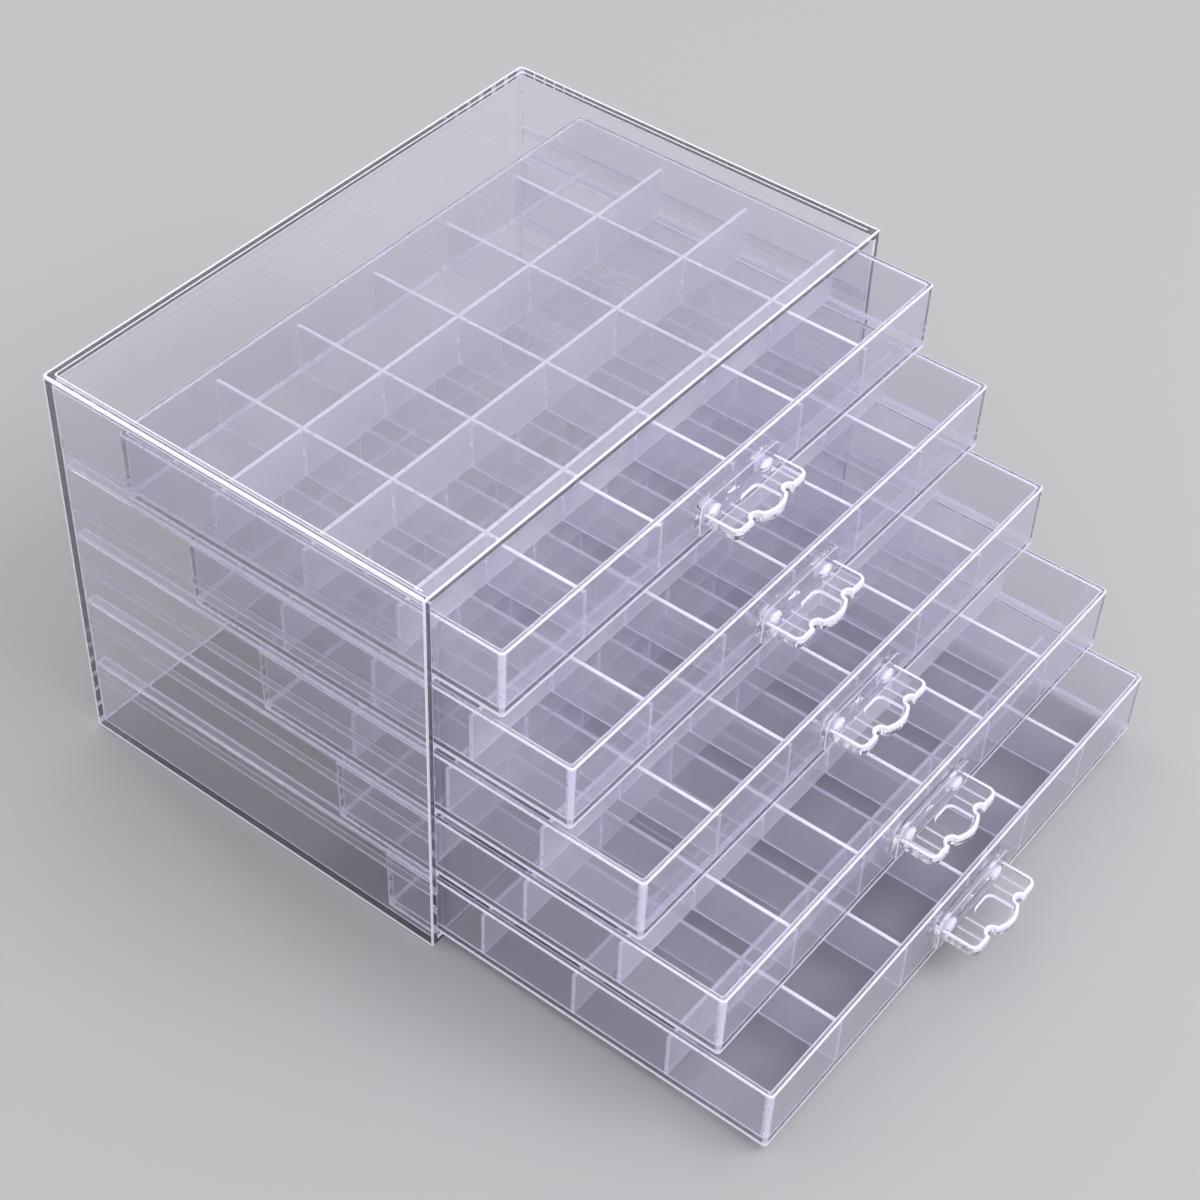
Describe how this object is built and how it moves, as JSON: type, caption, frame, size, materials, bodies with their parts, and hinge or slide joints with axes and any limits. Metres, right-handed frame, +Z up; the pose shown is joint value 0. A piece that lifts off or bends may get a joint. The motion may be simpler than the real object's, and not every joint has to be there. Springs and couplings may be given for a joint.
{
  "type": "earring box",
  "caption": "Clear plastic earring box: an open-fronted case with sliding drawers on side runners, each divided into small square compartments and pulled by a scalloped handle.",
  "frame": {"origin": "middle of the case's underside", "axes": "+X to the right seen from the front, +Y from the open front to the rear, +Z up"},
  "size_m": [0.235, 0.3045, 0.158],
  "materials": {
    "case_plastic": "clear, polished",
    "drawer_plastic": "clear, polished",
    "divider_plastic": "clear, polished",
    "handle_plastic": "clear, polished"
  },
  "bodies": {
    "case": {"case_base": "case_plastic", "case_top": "case_plastic", "case_wrap": "case_plastic", "left_rails": "case_plastic", "right_rails": "case_plastic"},
    "drawer_1": {"drawer_1_tray": "drawer_plastic", "drawer_1_long_divider_1": "divider_plastic", "drawer_1_long_divider_2": "divider_plastic", "drawer_1_long_divider_3": "divider_plastic", "drawer_1_short_divider_1": "divider_plastic", "drawer_1_short_divider_2": "divider_plastic", "drawer_1_short_divider_3": "divider_plastic", "drawer_1_short_divider_4": "divider_plastic", "drawer_1_short_divider_5": "divider_plastic", "drawer_1_handle": "handle_plastic"},
    "drawer_2": {"drawer_2_tray": "drawer_plastic", "drawer_2_long_divider_1": "divider_plastic", "drawer_2_long_divider_2": "divider_plastic", "drawer_2_long_divider_3": "divider_plastic", "drawer_2_short_divider_1": "divider_plastic", "drawer_2_short_divider_2": "divider_plastic", "drawer_2_short_divider_3": "divider_plastic", "drawer_2_short_divider_4": "divider_plastic", "drawer_2_short_divider_5": "divider_plastic", "drawer_2_handle": "handle_plastic"},
    "drawer_3": {"drawer_3_tray": "drawer_plastic", "drawer_3_long_divider_1": "divider_plastic", "drawer_3_long_divider_2": "divider_plastic", "drawer_3_long_divider_3": "divider_plastic", "drawer_3_short_divider_1": "divider_plastic", "drawer_3_short_divider_2": "divider_plastic", "drawer_3_short_divider_3": "divider_plastic", "drawer_3_short_divider_4": "divider_plastic", "drawer_3_short_divider_5": "divider_plastic", "drawer_3_handle": "handle_plastic"},
    "drawer_4": {"drawer_4_tray": "drawer_plastic", "drawer_4_long_divider_1": "divider_plastic", "drawer_4_long_divider_2": "divider_plastic", "drawer_4_long_divider_3": "divider_plastic", "drawer_4_short_divider_1": "divider_plastic", "drawer_4_short_divider_2": "divider_plastic", "drawer_4_short_divider_3": "divider_plastic", "drawer_4_short_divider_4": "divider_plastic", "drawer_4_short_divider_5": "divider_plastic", "drawer_4_handle": "handle_plastic"},
    "drawer_5": {"drawer_5_tray": "drawer_plastic", "drawer_5_long_divider_1": "divider_plastic", "drawer_5_long_divider_2": "divider_plastic", "drawer_5_long_divider_3": "divider_plastic", "drawer_5_short_divider_1": "divider_plastic", "drawer_5_short_divider_2": "divider_plastic", "drawer_5_short_divider_3": "divider_plastic", "drawer_5_short_divider_4": "divider_plastic", "drawer_5_short_divider_5": "divider_plastic", "drawer_5_handle": "handle_plastic"}
  },
  "joints": [
    {"name": "drawer_1_slide", "type": "slide", "parent": "case", "child": "drawer_1", "axis": [0, -1, 0], "range_m": [-0.0255, 0.1095]},
    {"name": "drawer_2_slide", "type": "slide", "parent": "case", "child": "drawer_2", "axis": [0, -1, 0], "range_m": [-0.0515, 0.0835]},
    {"name": "drawer_3_slide", "type": "slide", "parent": "case", "child": "drawer_3", "axis": [0, -1, 0], "range_m": [-0.079, 0.056]},
    {"name": "drawer_4_slide", "type": "slide", "parent": "case", "child": "drawer_4", "axis": [0, -1, 0], "range_m": [-0.11, 0.025]},
    {"name": "drawer_5_slide", "type": "slide", "parent": "case", "child": "drawer_5", "axis": [0, -1, 0], "range_m": [-0.13, 0.005]}
  ]
}
